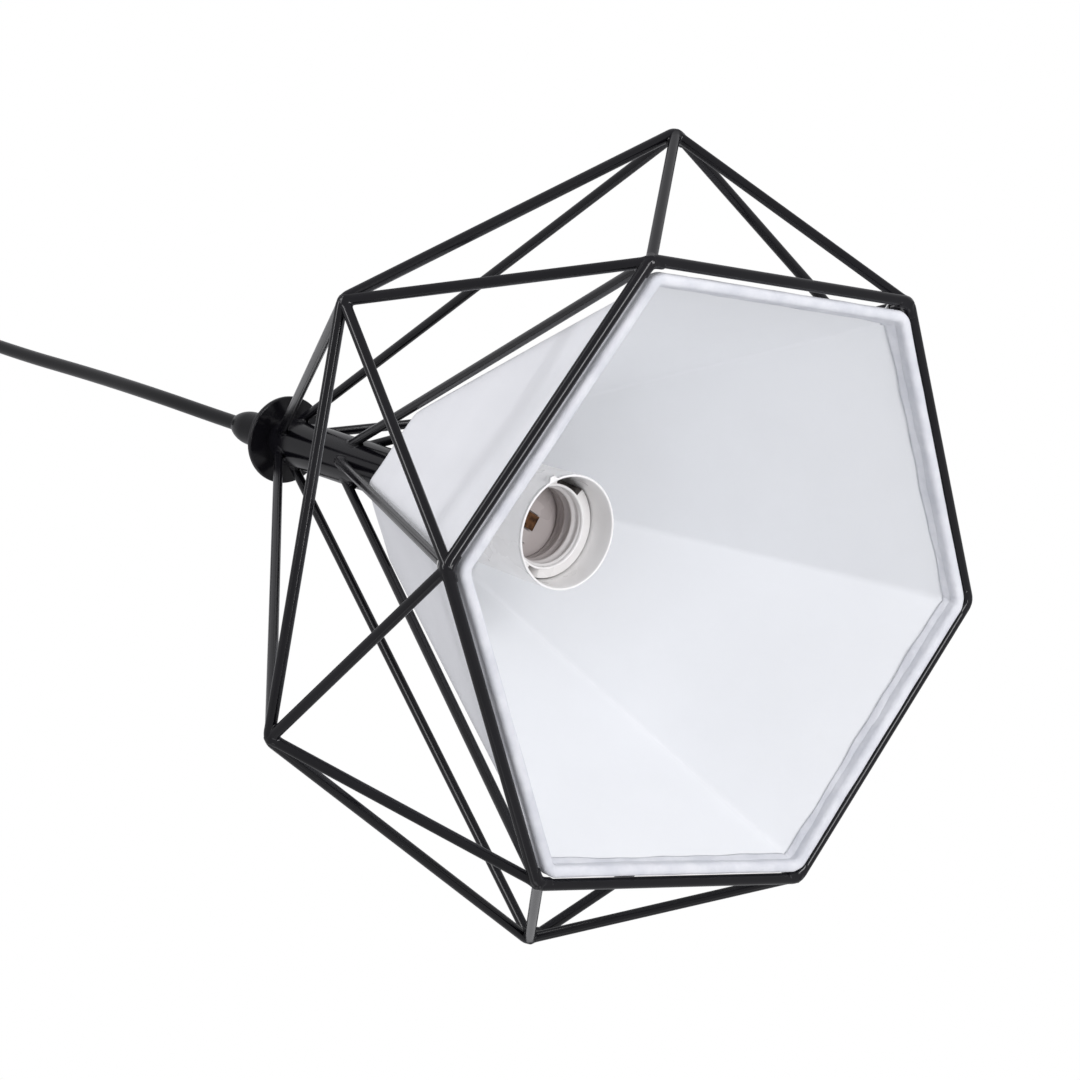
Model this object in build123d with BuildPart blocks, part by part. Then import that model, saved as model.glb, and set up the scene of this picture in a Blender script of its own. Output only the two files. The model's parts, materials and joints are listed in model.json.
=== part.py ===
from build123d import *
import os
from math import atan2, cos, degrees, hypot, radians, sin

os.makedirs("parts", exist_ok=True)

# Pendant lamp, hung from a ceiling: the origin is on the ceiling, on the lamp's axis, and +Z is up.
# Heights named "up" are measured from the plane of the lower ring, and at() turns them into z.
# All sizes are millimetres.

# Hanging height
ceiling_to_rim = 590.0

# Wire cage
ring_wire_d = 3.6
brace_wire_d = 3.4
rim_r = 107.0
waist_r = 131.5
waist_up = 61.0
ring_bend_r = 4.2
crown_weld_up = 241.0
shade_weld_up = 198.5
shade_weld_sunk = 0.6

# Neck tube, its end plates and the threaded rod that clamps it
neck_d = 17.5
neck_wall = 1.2
disc_above_weld = 4.5
disc_d = 32.4
disc_t = 2.0
disc_edge_r = 0.6
foot_t = 3.0
rod_d = 10.0
rod_bore_d = 7.4
rod_gap = 0.1
rod_into_grip = 9.5
rod_into_cap = 10.0
washer_d = 15.0
washer_t = 1.0

# Cord grips: one on the lamp, one under the ceiling cup
grip_d = 12.6
grip_len = 32.0
grip_tip_d = 7.4
grip_dome_share = 0.32
cup_grip_d = 14.0
cup_grip_len = 18.0
grip_bore_d = 6.2
grip_mouth_d = 6.7
grip_mouth_h = 0.8
grub_d = 2.6
grub_from_tip = 14.0
grub_sunk = 0.4

# Cord
cord_d = 5.6
cord_gap = 0.4
core_d = 2.2
core_spread = 1.55

# Lampholder for a 27 mm screw cap
holder_mouth_up = 78.0
skirt_mouth_d = 38.4
skirt_top_d = 37.2
skirt_wall = 1.3
skirt_len = 34.8
sleeve_bore_d = 26.8
sleeve_inner_bore_d = 26.2
sleeve_lip_d = 28.7
sleeve_body_d = 30.0
lip_below_mouth = 9.5
lip_h = 0.4
web_t = 2.0
thread_len = 9.8
base_below_lip = 13.5
base_t = 8.0
base_gap = 0.2
base_ledge = 1.5
spigot_wall = 1.3
spigot_len = 13.0
cap_wall = 1.6
cap_dome_h = 21.0
cap_swell_h = 4.0
cap_bend_h = 10.5
cap_neck_h = 16.5
cap_neck_in = 4.8
cap_collar_d = 15.0
cap_collar_h = 4.0
fit_gap = 0.1
nub_w = 3.0
nub_out = 1.6
nub_h = 4.0

# Contacts and terminals
contact_turn = 143
contact_w = 5.2
contact_t = 0.5
tongue_root_x = -8.0
tongue_tip_x = 3.0
tongue_drop = 2.0
contact_play = 0.45
foot_len = 3.6
foot_step = 0.5
side_contact_w = 4.0
side_contact_r = 12.5
side_contact_len = 2.6
side_contact_lean = 0.6
rib_len = 12.0
rib_t = 4.0
rib_h = 1.5
rib_gap = 0.5
terminal_x = 7.0
terminal_size = 5.0
terminal_h = 4.5
terminal_screw_d = 2.5
terminal_head_d = 3.6
terminal_head_h = 1.4
terminal_hole_deep = 4.0
terminal_screw_deep = 3.0

# Shade
shade_inside_rim = 5.3
shade_below_rim = 0.6
shade_up = 148.0
shade_wall = 0.9
shade_bend_r = 4.5
shade_top_bend_r = 5.0
shade_spoke_gap = 1.5
hem_d = 3.7
hem_wire_d = 2.3
hem_wire_gap = 0.1
top_wire_d = 2.0
tie_d = 0.5
tie_up = 5.0
tie_loop_r = 2.3

# Ceiling cup and bracket
cup_d = 80.0
cup_h = 27.0
cup_wall = 1.0
cup_edge_r = 5.0
bracket_w = 16.0
bracket_t = 1.5
bracket_leg = 15.0
bracket_gap = 0.8
slot_w = 4.5
slot_len = 10.0
slot_spacing = 50.0
nut_af = 14.0
nut_t = 4.0
stub_above_nut = 2.0
side_screw_d = 3.5
side_screw_head_d = 6.4
side_screw_head_h = 2.2
side_screw_z = -9.0
side_screw_hole_gap = 0.15
side_screw_len = 8.0
block_x = 16.0
block_y = 11.0
block_z = 10.0
sheath_above_stub = 3.5


def at(up):
    """The z of a height above the plane of the lower ring."""
    return up - ceiling_to_rim


def save(piece, name):
    """Label a finished piece and write its STEP file."""
    piece.part.label = name
    export_step(piece.part, f"parts/{name}.step")


def hexagon(radius, first_angle, z):
    """The six corners of a level hexagon whose first corner is at first_angle degrees."""
    turns = [radians(first_angle + 60 * i) for i in range(6)]
    return [Vector(radius * cos(a), radius * sin(a), z) for a in turns]


def bent_corner_r(radius, bend_r):
    """How far from the axis a rounded hexagon's corner reaches, on the wire's centre line."""
    return radius - bend_r * (1 / cos(radians(30)) - 1)


def wire_ring(radius, first_angle, z, bend_r, wire_d):
    """One wire bent into a hexagon with rounded corners."""
    with BuildPart() as ring:
        with BuildLine() as path:
            FilletPolyline(*hexagon(radius, first_angle, z), radius=bend_r, close=True)
        with BuildSketch(Plane(origin=path.line @ 0, z_dir=path.line % 0)):
            Circle(wire_d / 2)
        sweep(path=path.line)
    return ring


def straight_wire(start, end, wire_d, cut_by):
    """A straight wire between two points, its ends coped to the pieces that it is welded to."""
    run = end - start
    with BuildPart() as wire:
        with BuildSketch(Plane(origin=start, z_dir=run)):
            Circle(wire_d / 2)
        extrude(amount=run.length)
        for solid in cut_by:
            add(solid, mode=Mode.SUBTRACT)
    return wire


def turned(outline):
    """A piece turned on a lathe about the lamp's axis, from its (radius, z) outline."""
    with BuildPart() as piece:
        with BuildSketch(Plane.XZ):
            with BuildLine():
                Polyline(*outline, close=True)
            make_face()
        revolve(axis=Axis.Z)
    return piece


# Heights and radii that follow from the driving sizes
rim_z = at(0)
waist_z = at(waist_up)
crown_z = at(crown_weld_up)
shade_weld_z = at(shade_weld_up)
disc_z = crown_z + disc_above_weld
disc_top_z = disc_z + disc_t
lamp_tip_z = disc_top_z + grip_len
cup_tip_z = -cup_h - cup_grip_len
holder_mouth_z = at(holder_mouth_up)
lip_z = holder_mouth_z + lip_below_mouth
web_z = lip_z + lip_h
base_z = lip_z + base_below_lip
base_top_z = base_z + base_t
skirt_top_z = holder_mouth_z + skirt_len
cap_shoulder_z = skirt_top_z + fit_gap
cap_collar_z = cap_shoulder_z + cap_dome_h
cap_top_z = cap_collar_z + cap_collar_h
washer_z = cap_top_z
neck_z = washer_z + washer_t
rod_z = cap_top_z - rod_into_cap
rod_top_z = disc_top_z + rod_into_grip
neck_r = neck_d / 2
rod_hole_r = rod_d / 2 + rod_gap

# Lower ring and waist ring of the cage, each one bent wire
rim_ring = wire_ring(rim_r, 0, rim_z, ring_bend_r, ring_wire_d)
save(rim_ring, "rim_ring")
waist_ring = wire_ring(waist_r, 30, waist_z, ring_bend_r, ring_wire_d)
save(waist_ring, "waist_ring")
rings = [rim_ring.part, waist_ring.part]

# Neck tube with a turned foot welded into its lower end
with BuildPart() as neck_tube:
    with BuildSketch(Plane.XY.offset(neck_z)):
        Circle(neck_r)
        Circle(neck_r - neck_wall, mode=Mode.SUBTRACT)
    extrude(amount=disc_z - neck_z)
save(neck_tube, "neck_tube")

with BuildPart() as neck_foot:
    with BuildSketch(Plane.XY.offset(neck_z)):
        Circle(neck_r - neck_wall)
        Circle(rod_hole_r, mode=Mode.SUBTRACT)
    extrude(amount=foot_t)
save(neck_foot, "neck_foot")

# Collar disc on top of the neck, with softened edges
with BuildPart() as collar_disc:
    with BuildSketch(Plane.XY.offset(disc_z)):
        Circle(disc_d / 2)
    extrude(amount=disc_t)
    fillet(collar_disc.edges().filter_by(GeomType.CIRCLE), radius=disc_edge_r)
    with Locations((0, 0, disc_top_z)):
        Hole(rod_hole_r)
save(collar_disc, "collar_disc")

# The joints of the cage, on the wires' centre lines at the rings' rounded corners
rim_joints = hexagon(bent_corner_r(rim_r, ring_bend_r), 0, rim_z)
waist_joints = hexagon(bent_corner_r(waist_r, ring_bend_r), 30, waist_z)
with BuildPart() as neck_core:
    with BuildSketch(Plane.XY.offset(neck_z)):
        Circle(neck_r)
    extrude(amount=disc_z - neck_z)

# Six crown spokes from the neck, under the disc, down to the waist ring's corners
crown_spokes = []
crown_welds = hexagon(neck_r - brace_wire_d / 2, 30, crown_z)
for i in range(6):
    spoke = straight_wire(crown_welds[i], waist_joints[i], brace_wire_d, [neck_core.part, waist_ring.part])
    crown_spokes.append(spoke.part)
    save(spoke, f"crown_spoke_{i + 1}")

# Six shade spokes from half way down the neck to the lower ring's corners
shade_spokes = []
shade_weld_r = neck_r - shade_weld_sunk
shade_welds = hexagon(shade_weld_r, 0, shade_weld_z)
for i in range(6):
    spoke = straight_wire(shade_welds[i], rim_joints[i], brace_wire_d, [neck_core.part, rim_ring.part])
    shade_spokes.append(spoke.part)
    save(spoke, f"shade_spoke_{i + 1}")

# Twelve braces, two from each corner of the lower ring up to corners of the waist ring
braces = []
for i in range(6):
    for side in (0, -1):
        top = (i + side) % 6
        met = [*rings, crown_spokes[top], shade_spokes[i], *braces]
        brace = straight_wire(rim_joints[i], waist_joints[top], brace_wire_d, met)
        braces.append(brace.part)
        save(brace, f"cage_brace_{2 * i + 1 - side:02d}")

# Shade: a folded six-sided funnel inside the spokes, a wire in its rolled hem and one at its top
shade_foot_r = bent_corner_r(rim_r, ring_bend_r)
spoke_slope = (shade_foot_r - shade_weld_r) / shade_weld_up
spoke_half = brace_wire_d / 2 / cos(atan2(spoke_slope, 1))
shade_r = rim_r - shade_inside_rim
hem_z = at(-shade_below_rim)
shade_top_z = at(shade_up)
shade_top_reach = shade_foot_r - spoke_slope * shade_up - spoke_half - shade_spoke_gap
shade_top_r = shade_top_reach + shade_top_bend_r * (1 / cos(radians(30)) - 1)


def funnel(low_r, low_bend, high_r, high_bend):
    """A six-sided funnel from the hem to the shade's top, with rounded creases."""
    with BuildPart() as body:
        for radius, bend_r, z in ((low_r, low_bend, hem_z), (high_r, high_bend, shade_top_z)):
            with BuildSketch(Plane.XY.offset(z)):
                with BuildLine(Plane.XY.offset(z)):
                    FilletPolyline(*hexagon(radius, 0, z), radius=bend_r, close=True)
                make_face()
        loft(ruled=True)
    return body


hem_roll = wire_ring(shade_r, 0, hem_z, shade_bend_r, hem_d)
hem_bore = wire_ring(shade_r, 0, hem_z, shade_bend_r, hem_wire_d + 2 * hem_wire_gap)
hem_wire = wire_ring(shade_r, 0, hem_z, shade_bend_r, hem_wire_d)
save(hem_wire, "shade_hem_wire")

wall_step = shade_wall / cos(radians(30))
shade_out = funnel(shade_r + wall_step / 2, shade_bend_r, shade_top_r, shade_top_bend_r)
shade_in = funnel(
    shade_r - wall_step / 2,
    shade_bend_r - shade_wall,
    shade_top_r - wall_step,
    shade_top_bend_r - shade_wall,
)
with BuildPart() as shade_skin:
    add(shade_out.part)
    add(shade_in.part, mode=Mode.SUBTRACT)
    add(hem_roll.part, mode=Mode.SUBTRACT)
save(shade_skin, "shade_skin")

with BuildPart() as shade_hem:
    add(hem_roll.part)
    add(hem_bore.part, mode=Mode.SUBTRACT)
save(shade_hem, "shade_hem")

wall_slope = (shade_r - shade_top_r) / (shade_up + shade_below_rim)
top_wire_up = shade_up - top_wire_d
top_wire_half = top_wire_d / 2 / cos(atan2(wall_slope, 1)) + fit_gap
top_wire_in = wall_step + top_wire_half / cos(radians(30))
top_wire_r = shade_r - wall_slope * (top_wire_up + shade_below_rim) - top_wire_in
top_wire = wire_ring(top_wire_r, 0, at(top_wire_up), shade_top_bend_r - top_wire_d / 2, top_wire_d)
save(top_wire, "shade_top_wire")

# Six thread ties that hold the shade's corners to the shade spokes
tie_axis_r = shade_foot_r - spoke_slope * tie_up
tie_inner_r = tie_axis_r - shade_inside_rim - 2 * tie_loop_r
with BuildPart() as tie_loop:
    with BuildLine(Plane.XY.offset(at(tie_up))) as path:
        Line((tie_inner_r, -tie_loop_r), (tie_axis_r, -tie_loop_r))
        ThreePointArc((tie_axis_r, -tie_loop_r), (tie_axis_r + tie_loop_r, 0), (tie_axis_r, tie_loop_r))
        Line((tie_axis_r, tie_loop_r), (tie_inner_r, tie_loop_r))
    with BuildSketch(Plane(origin=path.line @ 0, z_dir=path.line % 0)):
        Circle(tie_d / 2)
    sweep(path=path.line)

with BuildPart() as corner_ties:
    with PolarLocations(0, 6):
        add(tie_loop.part)
    add(shade_out.part, mode=Mode.SUBTRACT)
save(corner_ties, "corner_ties")

# Threaded hollow rod through the neck, and the toothed washer under the neck's foot
with BuildPart() as neck_rod:
    with BuildSketch(Plane.XY.offset(rod_z)):
        Circle(rod_d / 2)
        Circle(rod_bore_d / 2, mode=Mode.SUBTRACT)
    extrude(amount=rod_top_z - rod_z)
save(neck_rod, "neck_rod")

with BuildPart() as neck_washer:
    with BuildSketch(Plane.XY.offset(washer_z)):
        Circle(washer_d / 2)
        Circle(rod_hole_r, mode=Mode.SUBTRACT)
    extrude(amount=washer_t)
save(neck_washer, "neck_washer")


def bullet(body_d, length, tip_d, foot_z, to_tip):
    """The outer form of a cord grip: a round body whose far end is domed down to the cord."""
    straight_z = foot_z + to_tip * (1 - grip_dome_share) * length
    tip_z = foot_z + to_tip * length
    with BuildPart() as body:
        with BuildSketch(Plane.XZ):
            with BuildLine():
                Line((0, foot_z), (body_d / 2, foot_z))
                Line((body_d / 2, foot_z), (body_d / 2, straight_z))
                TangentArc((body_d / 2, straight_z), (tip_d / 2, tip_z), tangent=(0, to_tip))
                Line((tip_d / 2, tip_z), (0, tip_z))
                Line((0, tip_z), (0, foot_z))
            make_face()
        revolve(axis=Axis.Z)
    return body


def cord_passage(from_z, tip_z, to_tip):
    """The bore for the cord, opening in a small funnel at the grip's tip."""
    return turned([
        (0, from_z),
        (grip_bore_d / 2, from_z),
        (grip_bore_d / 2, tip_z - to_tip * grip_mouth_h),
        (grip_mouth_d / 2, tip_z),
        (0, tip_z),
    ])


# Cord grip on the lamp, screwed onto the rod over the disc, with a grub screw against the cord
grub_z = lamp_tip_z - grub_from_tip
with BuildPart() as cord_grip:
    add(bullet(grip_d, grip_len, grip_tip_d, disc_top_z, 1).part)
    with BuildSketch(Plane.XY.offset(disc_top_z)):
        Circle(rod_hole_r)
    extrude(amount=rod_into_grip + fit_gap, mode=Mode.SUBTRACT)
    add(cord_passage(disc_top_z, lamp_tip_z, 1).part, mode=Mode.SUBTRACT)
    with BuildSketch(Plane(origin=(0, 0, grub_z), z_dir=(0, 1, 0))):
        Circle(grub_d / 2 + fit_gap / 2)
    extrude(amount=grip_d, mode=Mode.SUBTRACT)
save(cord_grip, "cord_grip")

with BuildPart() as grip_screw:
    with BuildSketch(Plane(origin=(0, cord_d / 2 + fit_gap, grub_z), z_dir=(0, 1, 0))):
        Circle(grub_d / 2)
    extrude(amount=grip_d / 2 - cord_d / 2 - grub_sunk)
save(grip_screw, "cord_grip_screw")

# Lampholder skirt: the outer sleeve, open at the bottom, with a small catch on its rim
mouth_r = skirt_mouth_d / 2
skirt_r = skirt_top_d / 2
skirt_in_r = skirt_r - skirt_wall
skirt_turned = turned([
    (mouth_r, holder_mouth_z),
    (skirt_r, skirt_top_z),
    (skirt_in_r, skirt_top_z),
    (skirt_in_r, web_z + web_t),
    (mouth_r - skirt_wall, holder_mouth_z),
])
with BuildPart() as holder_skirt:
    add(skirt_turned.part)
    with BuildSketch(Plane.XY.offset(holder_mouth_z)):
        with Locations((mouth_r + nub_out / 2 - skirt_wall / 2, 0)):
            Rectangle(nub_out + skirt_wall / 2, nub_w)
    extrude(amount=nub_h)
    add(
        turned([
            (0, holder_mouth_z),
            (mouth_r - skirt_wall, holder_mouth_z),
            (skirt_in_r, web_z + web_t),
            (0, web_z + web_t),
        ]).part,
        mode=Mode.SUBTRACT,
    )
save(holder_skirt, "holder_skirt")

# Threaded sleeve: its lip stands a little below the skirt's mouth, on a web that closes the gap
web_r = skirt_in_r - fit_gap
thread_sleeve = turned([
    (sleeve_bore_d / 2, lip_z),
    (sleeve_lip_d / 2, lip_z),
    (sleeve_lip_d / 2, web_z),
    (web_r, web_z),
    (web_r, web_z + web_t),
    (sleeve_body_d / 2, web_z + web_t),
    (sleeve_body_d / 2, base_z),
    (sleeve_inner_bore_d / 2, base_z),
    (sleeve_inner_bore_d / 2, lip_z + thread_len),
    (sleeve_bore_d / 2, lip_z + thread_len),
])
save(thread_sleeve, "thread_sleeve")

# Insulating base over the sleeve, carrying the contacts below and the terminals above
spigot_r = skirt_in_r - fit_gap
base_r = spigot_r - spigot_wall - base_gap
contact_way = Vector(cos(radians(contact_turn)), sin(radians(contact_turn)), 0)
contact_plane = Plane(origin=(0, 0, base_z), x_dir=contact_way, z_dir=(0, 0, 1))
with BuildPart() as contact_base:
    with BuildSketch(Plane.XY.offset(base_z)):
        Circle(base_r)
    extrude(amount=base_t)
    rib_y = contact_w / 2 + rib_gap + rib_t / 2
    with BuildSketch(contact_plane):
        with Locations((tongue_root_x + rib_len / 2, rib_y), (tongue_root_x + rib_len / 2, -rib_y)):
            Rectangle(rib_len, rib_t)
    extrude(amount=-rib_h)
save(contact_base, "contact_base")

# Holder cap: a spigot inside the skirt, a dome, and a collar that screws onto the rod
dome_in_r = base_r - base_ledge
holder_cap = turned([
    (spigot_r, cap_shoulder_z),
    (spigot_r, cap_shoulder_z - spigot_len),
    (spigot_r - spigot_wall, cap_shoulder_z - spigot_len),
    (spigot_r - spigot_wall, base_top_z),
    (dome_in_r, base_top_z),
    (dome_in_r, cap_shoulder_z + cap_bend_h - cap_wall),
    (cap_collar_d / 2 - cap_wall, cap_collar_z - cap_wall),
    (rod_hole_r, cap_collar_z - cap_wall),
    (rod_hole_r, cap_top_z),
    (cap_collar_d / 2, cap_top_z),
    (cap_collar_d / 2, cap_collar_z),
    (skirt_r - cap_neck_in, cap_shoulder_z + cap_neck_h),
    (skirt_r - cap_wall / 2, cap_shoulder_z + cap_bend_h),
    (skirt_r, cap_shoulder_z + cap_swell_h),
    (skirt_r, cap_shoulder_z),
])
save(holder_cap, "holder_cap")

# Centre contact: a fixed foot on the base and the springy tongue in front of it
tongue_root_z = base_z - contact_play
with BuildPart() as contact_foot:
    with BuildSketch(contact_plane):
        with Locations((tongue_root_x - foot_step - foot_len / 2, 0)):
            Rectangle(foot_len, contact_w)
    extrude(amount=-contact_t)
save(contact_foot, "centre_contact_foot")


def contact_strip(plane, root, tip, width):
    """A flat spring strip with round ends, drawn from its root to its tip in a plane."""
    run = hypot(tip[0] - root[0], tip[1] - root[1])
    lean = degrees(atan2(tip[1] - root[1], tip[0] - root[0]))
    with BuildPart() as strip:
        with BuildSketch(plane):
            with Locations(((root[0] + tip[0]) / 2, (root[1] + tip[1]) / 2)):
                SlotCenterToCenter(run, contact_t, rotation=lean)
        extrude(amount=width / 2, both=True)
    return strip


tongue_tip_z = tongue_root_z - tongue_drop
centre_contact = contact_strip(
    Plane(origin=(0, 0, 0), x_dir=contact_way, z_dir=contact_way.cross(Vector(0, 0, 1))),
    (tongue_root_x, tongue_root_z),
    (tongue_tip_x, tongue_tip_z),
    contact_w,
)
save(centre_contact, "centre_contact")

# Side contact: a strip that stands down beside the bulb's cap and leans in a little, on the -Y side
side_contact = contact_strip(
    Plane.YZ,
    (-side_contact_r, tongue_root_z),
    (-side_contact_r + side_contact_lean, tongue_root_z - side_contact_len),
    side_contact_w,
)
save(side_contact, "side_contact")

# Terminals on the base with their screws
terminal_z = base_top_z + terminal_h / 2
with BuildPart() as terminals:
    for side in (-1, 1):
        with Locations((side * terminal_x, 0, terminal_z)):
            Box(terminal_size, terminal_size, terminal_h)
    for side in (-1, 1):
        with Locations(Plane(origin=(side * terminal_x, -terminal_size / 2, terminal_z), z_dir=(0, -1, 0))):
            Hole(terminal_screw_d / 2 + fit_gap / 2, depth=terminal_hole_deep)
save(terminals, "holder_terminals")

with BuildPart() as terminal_screws:
    for side in (-1, 1):
        face = Plane(origin=(side * terminal_x, -terminal_size / 2, terminal_z), z_dir=(0, -1, 0))
        with BuildSketch(face):
            Circle(terminal_head_d / 2)
        extrude(amount=terminal_head_h)
        with BuildSketch(face):
            Circle(terminal_screw_d / 2)
        extrude(amount=-terminal_screw_deep)
save(terminal_screws, "terminal_screws")

# Sheathed cord held inside the lamp, and its two cores down to the terminals
sheath_end_z = rod_z - cord_gap
with BuildPart() as neck_cord:
    with BuildSketch(Plane.XY.offset(sheath_end_z)):
        Circle(cord_d / 2)
    extrude(amount=lamp_tip_z - cord_d / 2 - cord_gap - sheath_end_z)
save(neck_cord, "neck_cord")


def core_pair(sheath_z, far_x, far_z, cut_by):
    """Two insulated cores spreading from the sheath's end to two terminals."""
    with BuildPart() as cores:
        for side in (-1, 1):
            start = Vector(side * core_spread, 0, sheath_z)
            run = Vector(side * far_x, 0, far_z) - start
            with BuildSketch(Plane(origin=start - run.normalized() * core_d, z_dir=run)):
                Circle(core_d / 2)
            extrude(amount=run.length + 2 * core_d)
        for solid in cut_by:
            add(solid, mode=Mode.SUBTRACT)
    return cores


def half_space(z, size, up):
    """A big block above or below a level, for trimming."""
    with BuildPart() as block:
        with Locations((0, 0, z + up * size / 2)):
            Box(size, size, size)
    return block.part


core_end_z = base_top_z + terminal_h
holder_cores = core_pair(
    sheath_end_z,
    terminal_x - core_spread,
    core_end_z,
    [half_space(sheath_end_z, cup_d, 1), half_space(core_end_z, cup_d, -1)],
)
save(holder_cores, "holder_cores")

# Free cord between the two grips, round-ended at each pivot
with BuildPart() as pendant_cord:
    with BuildSketch(Plane.XY.offset(lamp_tip_z)):
        Circle(cord_d / 2)
    extrude(amount=cup_tip_z - lamp_tip_z)
    with Locations((0, 0, lamp_tip_z), (0, 0, cup_tip_z)):
        Sphere(cord_d / 2)
save(pendant_cord, "pendant_cord")

# Ceiling cup with a hole for its cord grip and two side holes
cup_r = cup_d / 2
with BuildPart() as canopy_cup:
    with BuildSketch(Plane.XY):
        Circle(cup_r)
    extrude(amount=-cup_h)
    fillet(canopy_cup.faces().sort_by(Axis.Z)[0].edges(), radius=cup_edge_r)
    offset(amount=-cup_wall, openings=canopy_cup.faces().sort_by(Axis.Z)[-1])
    with BuildSketch(Plane.XY.offset(-cup_h)):
        Circle(rod_hole_r)
    extrude(amount=cup_h / 2, mode=Mode.SUBTRACT)
    with BuildSketch(Plane(origin=(0, 0, side_screw_z), z_dir=(1, 0, 0))):
        Circle(side_screw_d / 2 + side_screw_hole_gap)
    extrude(amount=cup_d, both=True, mode=Mode.SUBTRACT)
save(canopy_cup, "canopy_cup")

# Cord grip under the cup, with a threaded stub up through the cup, and its nut
stub_top_z = -cup_h + cup_wall + nut_t + stub_above_nut
with BuildPart() as canopy_grip:
    add(bullet(cup_grip_d, cup_grip_len, grip_tip_d, -cup_h, -1).part)
    with BuildSketch(Plane.XY.offset(-cup_h)):
        Circle(rod_d / 2)
    extrude(amount=stub_top_z + cup_h)
    add(cord_passage(stub_top_z, cup_tip_z, -1).part, mode=Mode.SUBTRACT)
save(canopy_grip, "canopy_grip")

with BuildPart() as canopy_nut:
    with BuildSketch(Plane.XY.offset(-cup_h + cup_wall)):
        RegularPolygon(nut_af / 2, 6, major_radius=False)
        Circle(rod_hole_r, mode=Mode.SUBTRACT)
    extrude(amount=nut_t)
save(canopy_nut, "canopy_nut")

# Bracket: a strap against the ceiling with two slots, its ends bent down inside the cup
leg_x = cup_r - cup_wall - bracket_gap
with BuildPart() as ceiling_bracket:
    with BuildSketch(Plane.XZ):
        with BuildLine():
            Polyline(
                (-leg_x, 0),
                (leg_x, 0),
                (leg_x, -bracket_leg),
                (leg_x - bracket_t, -bracket_leg),
                (leg_x - bracket_t, -bracket_t),
                (-leg_x + bracket_t, -bracket_t),
                (-leg_x + bracket_t, -bracket_leg),
                (-leg_x, -bracket_leg),
                close=True,
            )
        make_face()
    extrude(amount=bracket_w / 2, both=True)
    with BuildSketch(Plane.XY):
        with Locations((-slot_spacing / 2, 0), (slot_spacing / 2, 0)):
            SlotOverall(slot_len, slot_w)
    extrude(amount=-bracket_t, mode=Mode.SUBTRACT)
    with BuildSketch(Plane(origin=(0, 0, side_screw_z), z_dir=(1, 0, 0))):
        Circle(side_screw_d / 2 + side_screw_hole_gap)
    extrude(amount=cup_d, both=True, mode=Mode.SUBTRACT)
    cup_inside = Cylinder(cup_r - cup_wall - bracket_gap / 2, 2 * cup_h, mode=Mode.PRIVATE)
    add(cup_inside, mode=Mode.INTERSECT)
save(ceiling_bracket, "ceiling_bracket")

with BuildPart() as cup_screws:
    for side in (-1, 1):
        face = Plane(origin=(side * cup_r, 0, side_screw_z), z_dir=(side, 0, 0))
        with BuildSketch(face):
            Circle(side_screw_head_d / 2)
        extrude(amount=side_screw_head_h)
        with BuildSketch(face):
            Circle(side_screw_d / 2)
        extrude(amount=-side_screw_len)
save(cup_screws, "cup_screws")

# Terminal block under the strap, the sheathed cord inside the cup and its cores
with BuildPart() as terminal_block:
    with Locations((0, 0, -bracket_t - block_z / 2)):
        Box(block_x, block_y, block_z)
save(terminal_block, "terminal_block")

canopy_sheath_z = stub_top_z + sheath_above_stub - cord_gap
canopy_sheath_low_z = cup_tip_z + cord_d / 2 + cord_gap
with BuildPart() as canopy_cord:
    with BuildSketch(Plane.XY.offset(canopy_sheath_low_z)):
        Circle(cord_d / 2)
    extrude(amount=canopy_sheath_z - canopy_sheath_low_z)
save(canopy_cord, "canopy_cord")

block_low_z = -bracket_t - block_z
canopy_cores = core_pair(
    canopy_sheath_z,
    block_x / 4,
    block_low_z,
    [half_space(canopy_sheath_z, cup_d, -1), half_space(block_low_z, cup_d, 1)],
)
save(canopy_cores, "canopy_cores")
print("free cord", round(cup_tip_z - lamp_tip_z, 1), "mm between the two grips")
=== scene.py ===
import json
from math import cos, pi, radians

import bmesh
import bpy
import numpy as np
from mathutils import Matrix, Vector


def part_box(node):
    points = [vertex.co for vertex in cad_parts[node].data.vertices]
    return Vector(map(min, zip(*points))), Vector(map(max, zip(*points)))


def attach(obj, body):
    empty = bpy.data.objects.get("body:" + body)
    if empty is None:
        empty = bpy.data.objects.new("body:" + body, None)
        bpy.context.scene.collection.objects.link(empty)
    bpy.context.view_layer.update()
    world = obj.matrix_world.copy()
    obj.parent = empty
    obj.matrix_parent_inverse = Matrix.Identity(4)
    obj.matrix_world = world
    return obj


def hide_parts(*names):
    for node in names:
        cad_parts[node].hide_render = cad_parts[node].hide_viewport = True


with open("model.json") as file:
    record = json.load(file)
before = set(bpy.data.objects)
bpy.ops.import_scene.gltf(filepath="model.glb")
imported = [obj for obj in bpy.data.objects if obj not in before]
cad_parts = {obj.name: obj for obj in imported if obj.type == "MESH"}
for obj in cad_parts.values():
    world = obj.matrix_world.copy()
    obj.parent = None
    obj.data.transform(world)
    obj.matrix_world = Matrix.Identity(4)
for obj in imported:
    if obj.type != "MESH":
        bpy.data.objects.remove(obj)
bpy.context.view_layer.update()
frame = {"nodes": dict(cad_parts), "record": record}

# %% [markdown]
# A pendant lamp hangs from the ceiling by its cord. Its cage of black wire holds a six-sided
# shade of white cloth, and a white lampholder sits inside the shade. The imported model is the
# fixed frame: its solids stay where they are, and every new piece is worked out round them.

mm = 0.001

# %% [markdown]
# The camera comes first, because it decides what has to look right. A long lens from below and
# to one side looks up into the shade. A camera's rotation is three columns: its right, its up
# and the way backwards out of the lens, so two directions are enough to build it.

# %% Camera
camera_place = Vector((0.3793, -0.4426, -1.1925))
looks_along = Vector((-0.4232, 0.4852, 0.7651)).normalized()
picture_up = Vector((0.8750, 0.4382, 0.2061))
picture_right = looks_along.cross(picture_up).normalized()
picture_up = picture_right.cross(looks_along)
lens_mm = 92.55

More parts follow.
